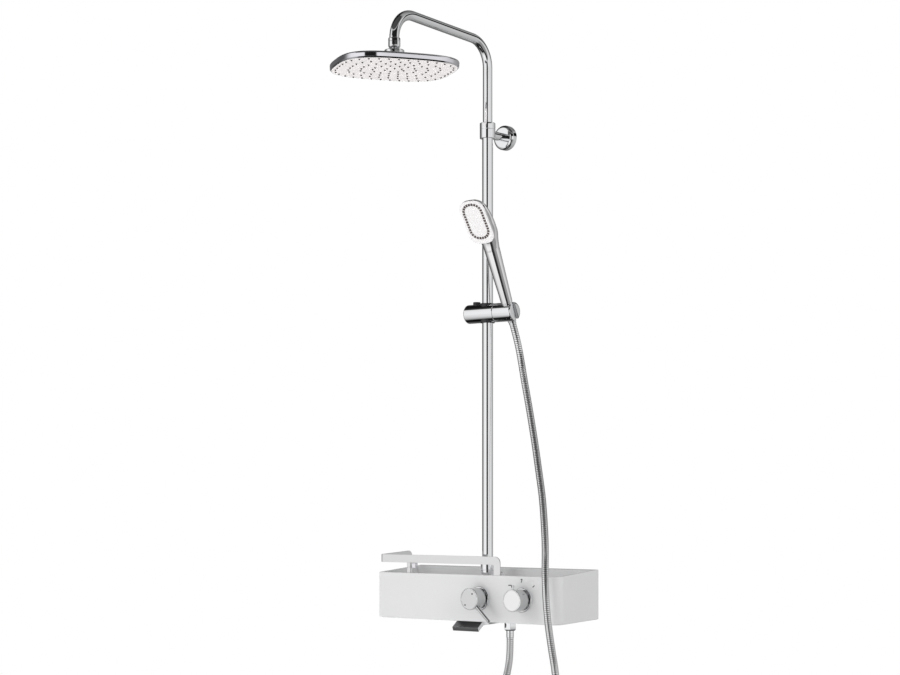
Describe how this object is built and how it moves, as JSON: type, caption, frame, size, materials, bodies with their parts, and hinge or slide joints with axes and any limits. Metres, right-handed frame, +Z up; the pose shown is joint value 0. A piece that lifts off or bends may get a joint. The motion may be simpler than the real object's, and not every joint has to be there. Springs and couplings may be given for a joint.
{
  "type": "rainfall shower column",
  "caption": "Wall-hung rainfall shower column: shelf housing with mixer and diverter knobs, spout, rail, sliding hand shower on a hose, and an overhead shower on a bent arm.",
  "frame": {"origin": "on the wall plane, midway between the two water inlets and the two wall screws", "axes": "+Z up along the column, +X to the right for someone facing the wall, -Y into the room"},
  "size_m": [0.5468, 0.5504, 1.6929],
  "materials": {
    "white_enamel": "smooth white coating",
    "chrome": "polished chrome plate",
    "chrome_plastic": "chrome-plated plastic",
    "white_plastic": "satin white",
    "grey_rubber": "soft grey",
    "brass": "cast and turned",
    "steel": "folded sheet",
    "satin_rail": "satin anodised",
    "dark_plastic": "moulded",
    "hose_metal": "interlocked steel strip",
    "seal_rubber": "soft"
  },
  "bodies": {
    "wall_unit": {"shelf_housing": "white_enamel", "wall_plate": "steel", "valve_body": "brass", "inlet_union_hot": "brass", "inlet_union_cold": "brass", "inlet_washer_hot": "seal_rubber", "inlet_washer_cold": "seal_rubber", "mixer_base_ring": "chrome", "mixer_collar": "dark_plastic", "diverter_base_ring": "chrome", "diverter_collar": "dark_plastic", "spout_body": "chrome", "spout_neck": "chrome", "column_foot_ring": "chrome", "column_foot_nut": "chrome", "column_tube": "chrome", "rail": "satin_rail", "rail_post": "satin_rail", "rail_foot": "satin_rail", "bracket_arm": "chrome", "bracket_base": "dark_plastic", "bracket_rosette": "chrome", "arm_clamp_ring": "chrome", "hose_outlet": "brass", "hose_outlet_nut": "chrome", "hose_ferrule_low": "chrome", "hose": "hose_metal"},
    "mixer_stem": {"mixer_turret": "brass", "mixer_pin": "steel"},
    "mixer_handle": {"mixer_rocker": "brass", "mixer_knob": "chrome", "mixer_lever": "chrome"},
    "diverter_handle": {"diverter_spindle": "chrome", "diverter_knob": "chrome", "diverter_peg": "chrome"},
    "arm_swivel": {"arm_bush": "dark_plastic"},
    "arm": {"shower_arm": "chrome", "arm_nut": "chrome", "arm_washer": "seal_rubber"},
    "head_pivot": {"head_ball": "chrome"},
    "head": {"head_socket": "chrome", "head_shell": "chrome_plastic", "head_face": "white_plastic", "head_nozzles": "grey_rubber"},
    "slider_sleeve": {"slider_bush": "dark_plastic"},
    "slider": {"slider_body": "chrome", "friction_ring": "dark_plastic"},
    "button": {"slider_button": "chrome"},
    "holder": {"handset_holder": "chrome"},
    "hand_shower": {"handset_shell": "chrome_plastic", "handset_face": "white_plastic", "handset_nozzles": "grey_rubber", "hose_cone_nut": "chrome", "hose_ferrule_top": "chrome"}
  },
  "joints": [
    {"name": "mixer_turn", "type": "hinge", "parent": "wall_unit", "child": "mixer_stem", "pos_m": [0.044, -0.157, 0], "axis": [0, 1, 0], "range_deg": [-45, 45]},
    {"name": "mixer_tilt", "type": "hinge", "parent": "mixer_stem", "child": "mixer_handle", "pos_m": [0.044, -0.162, 0], "axis": [-0.682, 0, -0.7314], "range_deg": [0, 9]},
    {"name": "diverter_turn", "type": "hinge", "parent": "wall_unit", "child": "diverter_handle", "pos_m": [0.1635, -0.157, 0], "axis": [0, 1, 0], "range_deg": [-45, 45]},
    {"name": "arm_swing", "type": "hinge", "parent": "wall_unit", "child": "arm_swivel", "pos_m": [0, -0.074, 1.083], "axis": [0, 0, 1], "range_deg": [-45, 45]},
    {"name": "arm_height", "type": "slide", "parent": "arm_swivel", "child": "arm", "axis": [0, 0, 1], "range_m": [-0.13, 0.12]},
    {"name": "head_swivel", "type": "hinge", "parent": "arm", "child": "head_pivot", "pos_m": [0, -0.406, 1.21], "axis": [0, 0, 1], "continuous": true},
    {"name": "head_tilt", "type": "hinge", "parent": "head_pivot", "child": "head", "pos_m": [0, -0.406, 1.193], "axis": [1, 0, 0], "range_deg": [-12, 12]},
    {"name": "slider_slide", "type": "slide", "parent": "wall_unit", "child": "slider_sleeve", "axis": [0, 0, 1], "range_m": [-0.4, 0.34], "deforming": ["hose"]},
    {"name": "slider_swing", "type": "hinge", "parent": "slider_sleeve", "child": "slider", "pos_m": [0, -0.074, 0.652], "axis": [0, 0, 1], "range_deg": [-60, 30], "deforming": ["hose"]},
    {"name": "slider_button_press", "type": "slide", "parent": "slider", "child": "button", "axis": [0, 0, -1], "range_m": [0, 0.0025], "stiffness_N_per_m": 400, "springref_m": -0.003},
    {"name": "holder_tilt", "type": "hinge", "parent": "slider", "child": "holder", "pos_m": [0.0228, -0.074, 0.652], "axis": [1, 0, 0], "range_deg": [-25, 35], "deforming": ["hose"]},
    {"name": "handset_lift", "type": "slide", "parent": "holder", "child": "hand_shower", "axis": [0, -0.4305, 0.9026], "range_m": [0, 0.09], "deforming": ["hose"]}
  ]
}
